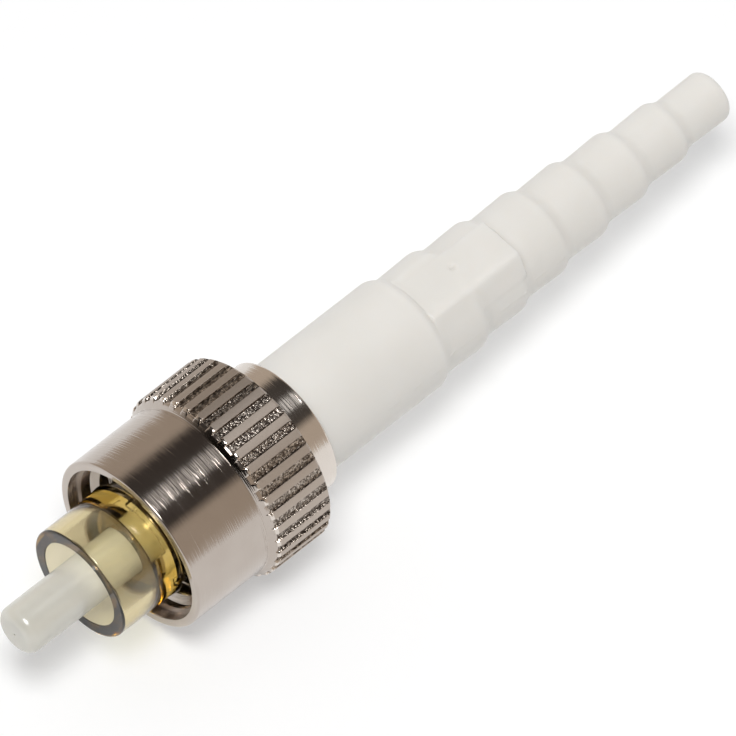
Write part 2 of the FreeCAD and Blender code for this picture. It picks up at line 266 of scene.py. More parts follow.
def plated(name, dark, light, smooth, rough):
    """Nickel plate on turned brass, from its two tones and its least and greatest roughness.

    The tool's fine rings are drawn a little coarse, so that they show.
    """
    material = new_material(name)
    tree = material.node_tree
    place = add(tree, "ShaderNodeTexCoord", {})
    spread = add(tree, "ShaderNodeMapping", {
        "Vector": place.outputs["Object"], "Scale": (1 / (0.06 * MM), 1 / (5 * MM), 1 / (5 * MM))})
    rings = add(tree, "ShaderNodeTexNoise", {"Vector": spread.outputs["Vector"], "Scale": 1, "Detail": 2})
    tarnish = add(tree, "ShaderNodeTexNoise", {
        "Vector": place.outputs["Object"], "Scale": 1 / (1.6 * MM), "Detail": 3})
    tone = add(tree, "ShaderNodeMix", {
        "Factor": tarnish.outputs["Fac"], "A": linear(dark), "B": linear(light)}, data_type="RGBA")
    gloss = add(tree, "ShaderNodeMapRange", {
        "Value": rings.outputs["Fac"], "To Min": smooth, "To Max": rough})
    ridges = add(tree, "ShaderNodeBump", {
        "Height": rings.outputs["Fac"], "Strength": 0.9, "Distance": 0.021 * MM})
    skin = add(tree, "ShaderNodeBsdfPrincipled", {
        "Base Color": tone.outputs["Result"], "Metallic": 1, "Roughness": gloss.outputs["Result"],
        "Normal": ridges.outputs["Normal"]})
    add(tree, "ShaderNodeOutputMaterial", {"Surface": skin.outputs["BSDF"]})
    return material


# Nickel plate on turned brass: warm grey metal with fine rings from the tool.
nickel = plated("turned_nickel_plate", "#B4A9A0", "#C1B8B0", 0.08, 0.2)

flange = turned("ferrule_collar", rounded([
    (flange_low.x, FERRULE_R, 0),
    (flange_low.x, COLLAR_R, COLLAR_BREAK),
    (collar_rear, COLLAR_R, COLLAR_EDGE),
    (collar_rear, HUB_R, COLLAR_EDGE),
    (flange_high.x, HUB_R, HUB_EDGE),
    (flange_high.x, BUFFER_HOLE_R, 0),
    (ferrule_high.x, BUFFER_HOLE_R, 0),
    (ferrule_high.x, FERRULE_R, 0),
]), with_walls(even(METAL_SIDES), keyways), cut_keyways)
flange.data.materials.append(nickel)
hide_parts("ferrule_flange")
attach(flange, "ferrule_group")

# The ferrule spring: round steel wire wound on a mandrel, with its ends closed flat.
# It sits between the flange's collar and the stop body, and shortens as the ferrule is pushed in.
spring_low, spring_high = (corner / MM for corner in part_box("ferrule_spring"))
WIRE_R = 0.2
WIRE_SIDES = 14
SPRING_TURNS = 5
SPRING_STEPS = 48
CLOSED_TURNS = 0.5
coil_r = spring_high.z - WIRE_R
spring_length = spring_high.x - spring_low.x

# Spring steel, drawn and ground: cool grey metal, a little clouded.
spring_steel = new_material("spring_steel")
tree = spring_steel.node_tree
place = add(tree, "ShaderNodeTexCoord", {})
drawn = add(tree, "ShaderNodeTexNoise", {
    "Vector": place.outputs["Object"], "Scale": 1 / (0.2 * MM), "Detail": 3})
tone = add(tree, "ShaderNodeMix", {
    "Factor": drawn.outputs["Fac"], "A": linear("#8F8E8C"), "B": linear("#B4B3B0")}, data_type="RGBA")
gloss = add(tree, "ShaderNodeMapRange", {"Value": drawn.outputs["Fac"], "To Min": 0.2, "To Max": 0.4})
skin = add(tree, "ShaderNodeBsdfPrincipled", {
    "Base Color": tone.outputs["Result"], "Metallic": 1, "Roughness": gloss.outputs["Result"]})
add(tree, "ShaderNodeOutputMaterial", {"Surface": skin.outputs["BSDF"]})

coils = []
for step in range(SPRING_TURNS * SPRING_STEPS + 1):
    turns = step / SPRING_STEPS
    share = min(max((turns - CLOSED_TURNS) / (SPRING_TURNS - 2 * CLOSED_TURNS), 0), 1)
    along = spring_low.x + WIRE_R + share * (spring_length - 2 * WIRE_R)
    wire = [math.radians(about) for about in even(WIRE_SIDES)]
    coils.append([(
        along + WIRE_R * math.sin(about), coil_r + WIRE_R * math.cos(about),
        math.radians(FULL_TURN * turns)) for about in wire])
spring = skinned("ferrule_coil", coils, ring=False)
spring.data.materials.append(spring_steel)
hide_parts("ferrule_spring")
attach(spring, "plug_body")
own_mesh(spring)

# The plug frame: clear amber plastic, injection moulded in one piece. Its sleeve guards the ferrule, a web
# guides it, a key fits the adapter's slot, and the nut's ring rides on the thin neck at its rear.
frame_low, frame_high = (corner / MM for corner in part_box("plug_frame"))
SLEEVE_R = 2.97
SLEEVE_EDGE = 0.12
CUP_R = 2.29
CUP_EDGE = 0.06
CUP_DEPTH = 2.6
CUP_FLOOR_ROUND = 0.15
WEB_REAR = 3.75
WEB_HOLE_R = 1.3
WEB_EDGE = 0.05
LIP_STAND = 0.08
LIP_LENGTH = 0.55
LIP_EDGE = 0.05
LIP_FLOOR_R = 2.8
LIP_NOTCH_HALF_WIDTH = 0.3
LIP_NOTCH_COUNT = 4
BARREL_R = 2.8
SHOULDER_FRONT = 5.3
SHOULDER_REAR = 6.5
SHOULDER_R = 3.4
SHOULDER_EDGE = 0.06
NECK_R = 2.6
NECK_ROOT = 0.08
CHAMBER_R = 2.15
KEY_HALF_WIDTH = 1.05
LUG_HALF_WIDTH = 0.3
LUG_TIP_R = 1.7
LUG_LENGTH = 1.2
LUG_COUNT = 2
HAIR = 0.001
FRAME_SIDES = 180
lip_notches = windows(LIP_NOTCH_COUNT, LIP_NOTCH_HALF_WIDTH, SLEEVE_R)
key = windows(1, KEY_HALF_WIDTH, SHOULDER_R, FULL_TURN / 2)
lugs = windows(LUG_COUNT, LUG_HALF_WIDTH, LUG_TIP_R)


def shape_frame(station, radius, angle):
    """Cut the lip's notches, and raise the key outside and the lugs inside.

    In the outline a pair of points a hair apart marks where each of them begins and ends.
    """
    if WEB_REAR - LIP_LENGTH < station <= WEB_REAR and radius >= SLEEVE_R and inside(angle, lip_notches):
        return station, LIP_FLOOR_R
    if WEB_REAR < station < SHOULDER_FRONT and radius == BARREL_R and inside(angle, key):
        return station, SHOULDER_R / math.cos(math.radians(off_middle(angle, key[0][0])))
    if WEB_REAR < station < WEB_REAR + LUG_LENGTH and radius == CHAMBER_R and inside(angle, lugs):
        return station, LUG_TIP_R
    return station, radius


# Clear amber polyetherimide: pale yellow through a thin wall, gold to brown where the way through is long.
# A lamp shines through it, so its shadow is thin and almost grey.
amber = new_material("clear_amber_plastic")
tree = amber.node_tree
place = add(tree, "ShaderNodeTexCoord", {})
flow = add(tree, "ShaderNodeTexNoise", {
    "Vector": place.outputs["Object"], "Scale": 1 / (0.8 * MM), "Detail": 2})
gloss = add(tree, "ShaderNodeMapRange", {"Value": flow.outputs["Fac"], "To Min": 0.04, "To Max": 0.1})
waves = add(tree, "ShaderNodeBump", {
    "Height": flow.outputs["Fac"], "Strength": 0.15, "Distance": 0.02 * MM})
skin = add(tree, "ShaderNodeBsdfPrincipled", {
    "Base Color": linear("#E2DFD8"), "Roughness": gloss.outputs["Result"], "IOR": 1.58,
    "Transmission Weight": 1, "Normal": waves.outputs["Normal"]})
rays = add(tree, "ShaderNodeLightPath", {})
veil = add(tree, "ShaderNodeBsdfTransparent", {"Color": linear("#DDE3EB")})
both = add(tree, "ShaderNodeMixShader", {
    "Fac": rays.outputs["Is Shadow Ray"], 1: skin.outputs["BSDF"], 2: veil.outputs["BSDF"]})
depth = add(tree, "ShaderNodeVolumeAbsorption", {"Color": linear("#F3E079"), "Density": 0.5 / MM})
add(tree, "ShaderNodeOutputMaterial", {
    "Surface": both.outputs["Shader"], "Volume": depth.outputs["Volume"]})

plug_frame = turned("plug_frame_moulding", rounded([
    (frame_low.x, CUP_R, CUP_EDGE),
    (frame_low.x, SLEEVE_R, SLEEVE_EDGE),
    (WEB_REAR - LIP_LENGTH, SLEEVE_R, 0),
    (WEB_REAR - LIP_LENGTH + HAIR, SLEEVE_R, 0),
    (WEB_REAR - LIP_STAND, SLEEVE_R + LIP_STAND, LIP_EDGE),
    (WEB_REAR, SLEEVE_R, 0),
    (WEB_REAR, BARREL_R, 0),
    (WEB_REAR + HAIR, BARREL_R, 0),
    (SHOULDER_FRONT - HAIR, BARREL_R, 0),
    (SHOULDER_FRONT, BARREL_R, 0),
    (SHOULDER_FRONT, SHOULDER_R, SHOULDER_EDGE),
    (SHOULDER_REAR, SHOULDER_R, SHOULDER_EDGE),
    (SHOULDER_REAR, NECK_R, NECK_ROOT),
    (frame_high.x, NECK_R, 0),
    (frame_high.x, CHAMBER_R, 0),
    (WEB_REAR + LUG_LENGTH, CHAMBER_R, 0),
    (WEB_REAR + LUG_LENGTH - HAIR, CHAMBER_R, 0),
    (WEB_REAR + HAIR, CHAMBER_R, 0),
    (WEB_REAR, CHAMBER_R, 0),
    (WEB_REAR, WEB_HOLE_R, 0),
    (CUP_DEPTH, WEB_HOLE_R, WEB_EDGE),
    (CUP_DEPTH, CUP_R, CUP_FLOOR_ROUND),
]), with_walls(even(FRAME_SIDES), lip_notches, key, lugs), shape_frame)
plug_frame.data.materials.append(amber)
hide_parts("plug_frame")
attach(plug_frame, "plug_body")

# The stop body: turned brass, nickel plated, pushed into the frame's rear. It seats the spring, and
# its grooved tail grips the boot.
stop_low, stop_high = (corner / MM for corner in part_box("stop_body"))
STOP_FLANGE_R = stop_high.z
STOP_FLANGE_REAR = 11.7
STOP_FLANGE_EDGE = 0.06
SPIGOT_R = 2.13
SPIGOT_EDGE = 0.1
HUB_POCKET_R = 1.65
HUB_POCKET_REAR = 11.1
TAIL_R = 2.0
TAIL_BREAK = 0.3
TAIL_GROOVE_DEPTH = 0.18
TAIL_GROOVE_WIDTH = 0.6
TAIL_GROOVE_PITCH = 2.0
TAIL_GROOVE_COUNT = 2
STOP_BORE_R = 1.0
STOP_BORE_EDGE = 0.1

stop_outline = [
    (stop_low.x, HUB_POCKET_R, 0),
    (stop_low.x, SPIGOT_R, SPIGOT_EDGE),
    (frame_high.x, SPIGOT_R, 0),
    (frame_high.x, STOP_FLANGE_R, STOP_FLANGE_EDGE),
    (STOP_FLANGE_REAR, STOP_FLANGE_R, 0),
    (STOP_FLANGE_REAR, TAIL_R, 0),
]
for groove in range(1, TAIL_GROOVE_COUNT + 1):
    groove_front = STOP_FLANGE_REAR + groove * TAIL_GROOVE_PITCH
    groove_rear = groove_front + TAIL_GROOVE_WIDTH
    stop_outline += [
        (groove_front, TAIL_R, 0),
        (groove_front, TAIL_R - TAIL_GROOVE_DEPTH, 0),
        (groove_rear, TAIL_R - TAIL_GROOVE_DEPTH, 0),
        (groove_rear, TAIL_R, 0),
    ]
stop_outline += [
    (stop_high.x, TAIL_R, TAIL_BREAK),
    (stop_high.x, STOP_BORE_R, STOP_BORE_EDGE),
    (HUB_POCKET_REAR, STOP_BORE_R, 0),
    (HUB_POCKET_REAR, HUB_POCKET_R, 0),
]
stop = turned("stop_sleeve", rounded(stop_outline), even(METAL_SIDES))
stop.data.materials.append(nickel)
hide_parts("stop_body")
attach(stop, "plug_body")

# The boot: white thermoplastic rubber, moulded in one piece and pushed over the stop body's tail.
# Its rings step down towards the cable, so that it bends evenly. A flat pad lies across two of them.
boot_low, boot_high = (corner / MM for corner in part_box("boot"))
BOOT_R = boot_high.z
BOOT_EDGE = 0.08
BOOT_BORE_R = 2.02
BOOT_BORE_END = 18.2
BOOT_THROAT_END = 19.4
BOOT_PLAIN_END = 21.1
BOOT_END_ROUND = 0.45
BOOT_OUTSIDE = 2.1
BOOT_STEP = 0.3
BOOT_SIDES = 240
CABLE_HOLE_R = 0.55
RING_COUNT = 7
RING_PITCH = 2.8
FIRST_RING_R = 2.73
LAST_RING_R = 1.33
RING_FLARE = 0.03
RING_STEP_LENGTH = 0.5
RING_ROUND = 0.75
RING_FOOT_ROUND = 0.9
PAD_HEIGHT = 2.45
PAD_NEAR = 1.65
PAD_FAR = 0.77
PAD_FOOT_ACROSS = 2.28
PAD_FOOT_HEIGHT = 1.0
PAD_FOOT_BLEND = 8
PAD_RINGS = 2
PAD_EDGE = 0.1
PAD_FLAT_EDGE = 0.025
PAD_END_LENGTH = 0.1
PAD_END_SHORT = 0.15
PAD_SIDE_SPOTS = (-0.6, -0.3, 0, 0.3, 0.6)
SEAM_ANGLE = 79.6
SEAM_SPOTS = (-1.2, -0.6, 0, 0.6, 1.2)
FLASH_FRONT = 17.0
FLASH_REAR = 29.4
FLASH_HALF_WIDTH = 0.07
FLASH_HEIGHT = 0.03
FLASH_WAVE = 5.1
FLASH_RIPPLE = 11.7
FLASH_RIPPLE_SHARE = 0.7
BLOB_R = 0.22
BLOB_HEIGHT = 0.13
GATE_STATION = 23.65
GATE_ANGLE = 3.6
GATE_R = 0.3
GATE_DEPTH = 0.12
ring_drop = (FIRST_RING_R - LAST_RING_R) / (RING_COUNT - 1)
seams = (SEAM_ANGLE, SEAM_ANGLE + FULL_TURN / 2)
pad_end = BOOT_PLAIN_END + PAD_RINGS * RING_PITCH - PAD_END_SHORT
pad_flank = Vector((PAD_FOOT_HEIGHT - PAD_HEIGHT, PAD_FOOT_ACROSS - PAD_NEAR)).orthogonal().normalized()
pad_flank_r = abs(pad_flank.dot((PAD_HEIGHT, PAD_NEAR)))
pad_flank_angle = math.degrees(math.atan2(abs(pad_flank.y), abs(pad_flank.x)))
pad_first = -math.degrees(math.atan2(PAD_FAR, PAD_HEIGHT))
pad_last = math.degrees(math.atan2(PAD_FOOT_ACROSS, PAD_FOOT_HEIGHT))


def softer(first, second, blend):
    """The lesser of two lengths for a positive blend, the greater for a negative one, rounded between."""
    pick = min(first, second) if blend > 0 else max(first, second)
    return pick - blend * math.log1p(math.exp(-abs((first - second) / blend)))


def eased(share):
    """A share from 0 to 1 with a soft start and stop."""
    share = min(max(share, 0), 1)
    return share * share * (3 - 2 * share)


def mound(across, along, size):
    """The height of a soft round mound of that size, as a share of its top."""
    return math.exp(-(across * across + along * along) / (size / 2) ** 2)


def shape_boot(station, radius, angle):
    """Flatten the rings to the pad, raise its near side, and leave the mould's gate mark and flash."""
    if radius < BOOT_OUTSIDE:
        return station, radius
    off = off_middle(angle, 0)
    rings = BOOT_PLAIN_END - PAD_END_LENGTH <= station <= pad_end + RING_STEP_LENGTH
    if rings and abs(off) < pad_last:
        flat = PAD_HEIGHT / math.cos(math.radians(off))
        flank = pad_flank_r / math.cos(math.radians(off - pad_flank_angle))
        radius = softer(radius, flat, PAD_FLAT_EDGE)
        raised = softer(radius, softer(flat, flank, PAD_EDGE), -PAD_EDGE)
        on_pad = eased((pad_end - station) / PAD_END_LENGTH + 0.5) * eased(off - pad_first + 0.5)
        on_pad *= eased((pad_last - off) / PAD_FOOT_BLEND)
        radius += (raised - radius) * on_pad
    for seam in seams:
        across = math.radians(abs(off_middle(angle, seam))) * radius
        if FLASH_FRONT < station < FLASH_REAR and across < FLASH_HALF_WIDTH:
            ripple = FLASH_RIPPLE_SHARE * math.sin(FLASH_RIPPLE * station + seam)
            stand = max(0, math.sin(FLASH_WAVE * station) + ripple)
            radius += FLASH_HEIGHT * stand * (1 - across / FLASH_HALF_WIDTH)
        radius += BLOB_HEIGHT * mound(across, station - FLASH_FRONT, BLOB_R)
    across = math.radians(off_middle(angle, GATE_ANGLE)) * radius
    return station, radius - GATE_DEPTH * mound(across, station - GATE_STATION, GATE_R)


# White thermoplastic rubber: soft satin white, a little warm, with a fine moulded grain.
rubber = new_material("white_rubber")
tree = rubber.node_tree
place = add(tree, "ShaderNodeTexCoord", {})
grain = add(tree, "ShaderNodeTexNoise", {
    "Vector": place.outputs["Object"], "Scale": 1 / (0.12 * MM), "Detail": 3})
blush = add(tree, "ShaderNodeTexNoise", {
    "Vector": place.outputs["Object"], "Scale": 1 / (3.0 * MM), "Detail": 2})
tone = add(tree, "ShaderNodeMix", {
    "Factor": blush.outputs["Fac"], "A": linear("#E0DDD7"), "B": linear("#E7E4DF")}, data_type="RGBA")
gloss = add(tree, "ShaderNodeMapRange", {"Value": grain.outputs["Fac"], "To Min": 0.42, "To Max": 0.62})
moulded = add(tree, "ShaderNodeBump", {
    "Height": grain.outputs["Fac"], "Strength": 0.12, "Distance": 0.02 * MM})
skin = add(tree, "ShaderNodeBsdfPrincipled", {
    "Base Color": tone.outputs["Result"], "Roughness": gloss.outputs["Result"], "IOR": 1.48,
    "Subsurface Weight": 0.9, "Subsurface Radius": (1.0, 0.95, 0.9), "Subsurface Scale": 0.9 * MM,
    "Normal": moulded.outputs["Normal"]})
add(tree, "ShaderNodeOutputMaterial", {"Surface": skin.outputs["BSDF"]})

boot_outline = [
    (boot_low.x, BOOT_BORE_R, 0),
    (boot_low.x, BOOT_R, BOOT_EDGE),
    (BOOT_PLAIN_END - RING_STEP_LENGTH, BOOT_R, RING_ROUND),
]
for ring in range(RING_COUNT):
    ring_front = BOOT_PLAIN_END + ring * RING_PITCH
    ring_r = FIRST_RING_R - ring * ring_drop
    boot_outline.append((ring_front, ring_r - RING_FLARE, RING_FOOT_ROUND))
    if ring < RING_COUNT - 1:
        ring_rear = ring_front + RING_PITCH - RING_STEP_LENGTH
        boot_outline.append((ring_rear, ring_r + RING_FLARE, RING_ROUND))
boot_outline += [
    (boot_high.x, LAST_RING_R, BOOT_END_ROUND),
    (boot_high.x, CABLE_HOLE_R, BOOT_EDGE),
    (BOOT_THROAT_END, CABLE_HOLE_R, 0),
    (BOOT_BORE_END, BOOT_BORE_R, 0),
]
boot_points = rounded(boot_outline)
boot_line = []
for number, (station, radius) in enumerate(boot_points):
    last_station, last_radius = boot_points[number - 1]
    wide = min(radius, last_radius) > BOOT_BORE_R / 2
    pieces = max(1, math.ceil(abs(station - last_station) / BOOT_STEP)) if wide else 1
    for piece in range(1, pieces + 1):
        share = piece / pieces
        boot_line.append((
            last_station + (station - last_station) * share, last_radius + (radius - last_radius) * share))
seam_angles = [seam + spot for seam in seams for spot in SEAM_SPOTS]
pad_angles = [(pad_first + spot) % FULL_TURN for spot in PAD_SIDE_SPOTS]
boot_angles = sorted({*even(BOOT_SIDES), *seam_angles, *pad_angles})
boot = turned("boot_moulding", boot_line, boot_angles, shape_boot)
boot.data.materials.append(rubber)
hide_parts("boot")
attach(boot, "plug_body")

# The retaining ring: an open ring of flat spring steel. It snaps into the nut's groove and rides on
# the frame's neck, so that the nut turns and slides but can't come off.
ring_low, ring_high = (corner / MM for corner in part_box("retaining_ring"))
RING_INNER_R = 2.65
RING_OUTER_R = -ring_low.z
RING_GAP = 60
RING_BREAK = 0.08
RING_BREAK_STEPS = 3
RING_STEPS = 120
ring_arc = FULL_TURN - RING_GAP
ring_angles = [RING_GAP / 2 + ring_arc * step / RING_STEPS for step in range(RING_STEPS + 1)]
retaining_ring = turned("snap_ring", rounded([
    (ring_low.x, RING_INNER_R, RING_BREAK),
    (ring_low.x, RING_OUTER_R, RING_BREAK),
    (ring_high.x, RING_OUTER_R, RING_BREAK),
    (ring_high.x, RING_INNER_R, RING_BREAK),
], RING_BREAK_STEPS), ring_angles, ring=False)
retaining_ring.data.materials.append(spring_steel)
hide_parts("retaining_ring")
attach(retaining_ring, "nut_ring")

# The coupling nut: turned brass, nickel plated, with a pressed straight knurl and a fine thread inside.
# It is held on the frame by the ring, and screws on to the adapter.
nut_low, nut_high = (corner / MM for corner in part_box("coupling_nut"))
THREAD_R = 4.0
THREAD_END = 8.4
NUT_MOUTH_R = 4.15
NUT_MOUTH_DEPTH = 0.7
NUT_MOUTH_EDGE = 0.04
NUT_BARREL_R = 4.6
NUT_BARREL_END = 7.68
NUT_RIM_BREAK = 0.12
NUT_EDGE = 0.05
NUT_ROUND_STEPS = 4
SHOULDER_BORE_R = 3.6
NUT_LIP_FRONT = 9.72
NUT_BORE_R = 3.12
RING_GROOVE_FRONT = 10.32
RING_GROOVE_REAR = 10.88
RING_GROOVE_R = 3.45
COLLAR_OUTER_R = 3.53
COLLAR_END_BREAK = 0.12
KNURL_R = 5.0
KNURL_FRONT = 8.0
KNURL_REAR = 11.35
KNURL_REAR_BREAK = 0.14
KNURL_EDGE = 0.03
KNURL_COUNT = 36
KNURL_DEPTH = 0.14
KNURL_SOFT = 0.008
KNURL_FLOOR_HALF = 0.18
KNURL_HALF_WIDTH = 0.23
KNURL_SPOTS = (0, 0.09, 0.16, 0.18, 0.195, 0.21, 0.225, 0.24, 0.255, 0.28, 0.34)
NOSE_ROUND = 0.1
NOSE_SOFT = 0.03
NOSE_TAPER = 0.05
NOSE_LENGTH = 0.2
NOSE_POINTS = 4
NOSE_FIRST_POINT = 2
SLOPE_POINTS = 5
SLOPE_MARGIN = 0.05
ANGLE_DIGITS = 6
knurl_pitch = FULL_TURN / KNURL_COUNT

# The mesh has a line at each knurl spot beside a groove's middle, and one along the middle of each land.
spot_angles = [math.degrees(spot / KNURL_R) for spot in KNURL_SPOTS] + [knurl_pitch / 2]
nut_angles = sorted({
    round((number * knurl_pitch + side * spot) % FULL_TURN, ANGLE_DIGITS)
    for number in range(KNURL_COUNT) for spot in spot_angles for side in (-1, 1)})


def from_groove(angle):
    """How far an angle lies from the middle of its knurl groove, in millimetres round the knurl."""
    return math.radians(abs((angle + knurl_pitch / 2) % knurl_pitch - knurl_pitch / 2)) * KNURL_R


def press_knurl(station, radius, angle):
    """Sink the knurl's grooves to their flat floors, and round the lands' front ends."""
    if station < NUT_BARREL_END or radius < NUT_BARREL_R:
        return station, radius
    nose = 1 - eased((station - KNURL_FRONT) / NOSE_LENGTH)
    across = from_groove(angle) - KNURL_FLOOR_HALF - NOSE_TAPER * nose
    flank = across / (KNURL_HALF_WIDTH - KNURL_FLOOR_HALF)
    floor_r = softer(KNURL_R - KNURL_DEPTH * (1 - flank), KNURL_R - KNURL_DEPTH, -KNURL_SOFT)
    return station, softer(radius, floor_r, KNURL_SOFT + NOSE_SOFT * nose)


# The plate on the knurl's lands: blasted to an even grey satin.
satin = new_material("satin_nickel_plate")
tree = satin.node_tree
place = add(tree, "ShaderNodeTexCoord", {})
blast = add(tree, "ShaderNodeTexNoise", {
    "Vector": place.outputs["Object"], "Scale": 1 / (0.05 * MM), "Detail": 3})
tone = add(tree, "ShaderNodeMix", {
    "Factor": blast.outputs["Fac"], "A": linear("#AEA399"), "B": linear("#CABFB5")}, data_type="RGBA")
gloss = add(tree, "ShaderNodeMapRange", {"Value": blast.outputs["Fac"], "To Min": 0.44, "To Max": 0.62})
peened = add(tree, "ShaderNodeBump", {
    "Height": blast.outputs["Fac"], "Strength": 0.25, "Distance": 0.01 * MM})
skin = add(tree, "ShaderNodeBsdfPrincipled", {
    "Base Color": tone.outputs["Result"], "Metallic": 1, "Roughness": gloss.outputs["Result"],
    "Normal": peened.outputs["Normal"]})
add(tree, "ShaderNodeOutputMaterial", {"Surface": skin.outputs["BSDF"]})

# The same plate on the knurl's pressed grooves: pitted and speckled, its colour painted partly dark as
# painted shade down in the grooves.
pressed = new_material("pressed_nickel_plate_and_shade")
tree = pressed.node_tree
place = add(tree, "ShaderNodeTexCoord", {})
crumbs = add(tree, "ShaderNodeTexNoise", {
    "Vector": place.outputs["Object"], "Scale": 1 / (0.11 * MM), "Detail": 3})
grit_and_groove_shade = add(tree, "ShaderNodeMapRange", {"Value": crumbs.outputs["Fac"], "From Min": 0.42, "From Max": 0.66})
# The dark tone is partly real specks of the pressed metal and partly painted shade in the grooves.
tone = add(tree, "ShaderNodeMix", {
    "Factor": grit_and_groove_shade.outputs["Result"], "A": linear("#5C524A"), "B": linear("#D4CAC0")}, data_type="RGBA")
pits = add(tree, "ShaderNodeBump", {
    "Height": grit_and_groove_shade.outputs["Result"], "Strength": 0.5, "Distance": 0.03 * MM})
skin = add(tree, "ShaderNodeBsdfPrincipled", {
    "Base Color": tone.outputs["Result"], "Metallic": 1, "Roughness": 0.22,
    "Normal": pits.outputs["Normal"]})
add(tree, "ShaderNodeOutputMaterial", {"Surface": skin.outputs["BSDF"]})

# The plate on the collar and the lands' front ends, given a brush finish so that it blurs what it mirrors.
# Its tones are painted paler than the turned plate's, a painted highlight that makes the collar and the
# lands' front ends shine brighter.
brushed_and_brightened = plated("brushed_brightened_nickel_plate", "#D0C7BE", "#E0D8D0", 0.1, 0.2)

slope = [(
    NUT_BARREL_END + (KNURL_FRONT - NUT_BARREL_END) * step / SLOPE_POINTS,
    NUT_BARREL_R + (KNURL_R - NUT_BARREL_R) * step / SLOPE_POINTS, 0) for step in range(1, SLOPE_POINTS)]
lands = [(
    KNURL_FRONT + NOSE_LENGTH * step / NOSE_POINTS, KNURL_R, 0)
    for step in range(NOSE_FIRST_POINT, NOSE_POINTS + 1)]
nut = turned("knurled_nut", rounded([
    (nut_low.x, NUT_MOUTH_R, NUT_MOUTH_EDGE),
    (nut_low.x, NUT_BARREL_R, NUT_RIM_BREAK),
    (NUT_BARREL_END, NUT_BARREL_R, NUT_EDGE),
    *slope,
    (KNURL_FRONT, KNURL_R, NOSE_ROUND),
    *lands,
    (KNURL_REAR - KNURL_REAR_BREAK, KNURL_R, KNURL_EDGE),
    (KNURL_REAR, KNURL_R - KNURL_REAR_BREAK, KNURL_EDGE),
    (KNURL_REAR, COLLAR_OUTER_R, NUT_EDGE),
    (nut_high.x, COLLAR_OUTER_R, COLLAR_END_BREAK),
    (nut_high.x, NUT_BORE_R, NUT_EDGE),
    (RING_GROOVE_REAR, NUT_BORE_R, 0),
    (RING_GROOVE_REAR, RING_GROOVE_R, 0),
    (RING_GROOVE_FRONT, RING_GROOVE_R, 0),
    (RING_GROOVE_FRONT, NUT_BORE_R, 0),
    (NUT_LIP_FRONT, NUT_BORE_R, 0),
    (NUT_LIP_FRONT, SHOULDER_BORE_R, 0),
    (THREAD_END, SHOULDER_BORE_R, 0),
    (THREAD_END, THREAD_R, 0),
    (nut_low.x + NUT_MOUTH_DEPTH, THREAD_R, 0),
    (nut_low.x + NUT_MOUTH_DEPTH, NUT_MOUTH_R, 0),
], NUT_ROUND_STEPS), nut_angles, press_knurl)
finishes = (nickel, satin, pressed, brushed_and_brightened)
for finish in finishes:
    nut.data.materials.append(finish)
for face in nut.data.polygons:
    middle = face.center / MM
    on_knurl = math.hypot(middle.y, middle.z) > KNURL_R - KNURL_DEPTH - HAIR
    finish = nickel
    if middle.x > KNURL_REAR:
        finish = brushed_and_brightened
    elif middle.x > KNURL_FRONT - SLOPE_MARGIN and on_knurl:
        in_groove = from_groove(math.degrees(math.atan2(-middle.y, middle.z))) < KNURL_HALF_WIDTH
        on_nose = middle.x < KNURL_FRONT + NOSE_LENGTH / 2
        finish = pressed if in_groove else brushed_and_brightened if on_nose else satin
    face.material_index = finishes.index(finish)
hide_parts("coupling_nut")
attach(nut, "nut")

# The thread in the nut: a fine metric thread, one right-hand ridge that fades out at both ends.
# It is cut in the bore behind the plain mouth, and plated with the nut.
THREAD_PITCH = 0.75
THREAD_HEIGHT = 0.38
THREAD_CREST_HALF = 0.06
THREAD_FOOT_HALF = 0.31
THREAD_ROOT = 0.02
THREAD_STEPS = 96
THREAD_FADE = 0.25
THREAD_LAST_SHARE = 0.02
thread_start = nut_low.x + NUT_MOUTH_DEPTH + THREAD_FOOT_HALF
thread_turns = (THREAD_END - THREAD_FOOT_HALF - thread_start) / THREAD_PITCH
ridge = []
for step in range(round(thread_turns * THREAD_STEPS) + 1):
    turns = step / THREAD_STEPS
    share = min(1, turns / THREAD_FADE, (thread_turns - turns) / THREAD_FADE + THREAD_LAST_SHARE)
    crest_r = THREAD_R - THREAD_HEIGHT * share
    middle = thread_start + turns * THREAD_PITCH
    turn = math.radians(FULL_TURN * turns)
    ridge.append([
        (middle - THREAD_FOOT_HALF, THREAD_R + THREAD_ROOT, turn),
        (middle - THREAD_CREST_HALF, crest_r, turn),
        (middle + THREAD_CREST_HALF, crest_r, turn),
        (middle + THREAD_FOOT_HALF, THREAD_R + THREAD_ROOT, turn),
    ])
thread = skinned("nut_thread", ridge, ring=False)
thread.data.materials.append(nickel)
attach(thread, "nut")

# The table: plain white card, laid flat under the plug, that keeps its soft shadow.
# The camera, mirrors and clear plastic all see it a little lifted to white. The stage is in metres.
FLOOR_HALF = 1.5
FLOOR_LIFT = 0.4
bpy.ops.mesh.primitive_plane_add(size=2 * FLOOR_HALF, location=(0, 0, cad_box[0].z))
floor = bpy.context.object
floor.name = "floor"
white_card = new_material("white_card")
tree = white_card.node_tree
rays = add(tree, "ShaderNodeLightPath", {})
shade = add(tree, "ShaderNodeBsdfDiffuse", {"Color": linear("#FDFDFD")})
glow = add(tree, "ShaderNodeEmission", {"Color": linear("#FFFFFF"), "Strength": 1})
direct = add(tree, "ShaderNodeMath", {
    0: rays.outputs["Is Camera Ray"], 1: rays.outputs["Is Glossy Ray"]}, operation="MAXIMUM")
sight = add(tree, "ShaderNodeMath", {
    0: direct.outputs["Value"], 1: rays.outputs["Is Transmission Ray"]}, operation="MAXIMUM")
lifted = add(tree, "ShaderNodeMath", {0: sight.outputs["Value"], 1: FLOOR_LIFT}, operation="MULTIPLY")
both = add(tree, "ShaderNodeMixShader", {
    "Fac": lifted.outputs["Value"], 1: shade.outputs["BSDF"], 2: glow.outputs["Emission"]})
add(tree, "ShaderNodeOutputMaterial", {"Surface": both.outputs["Shader"]})
floor.data.materials.append(white_card)

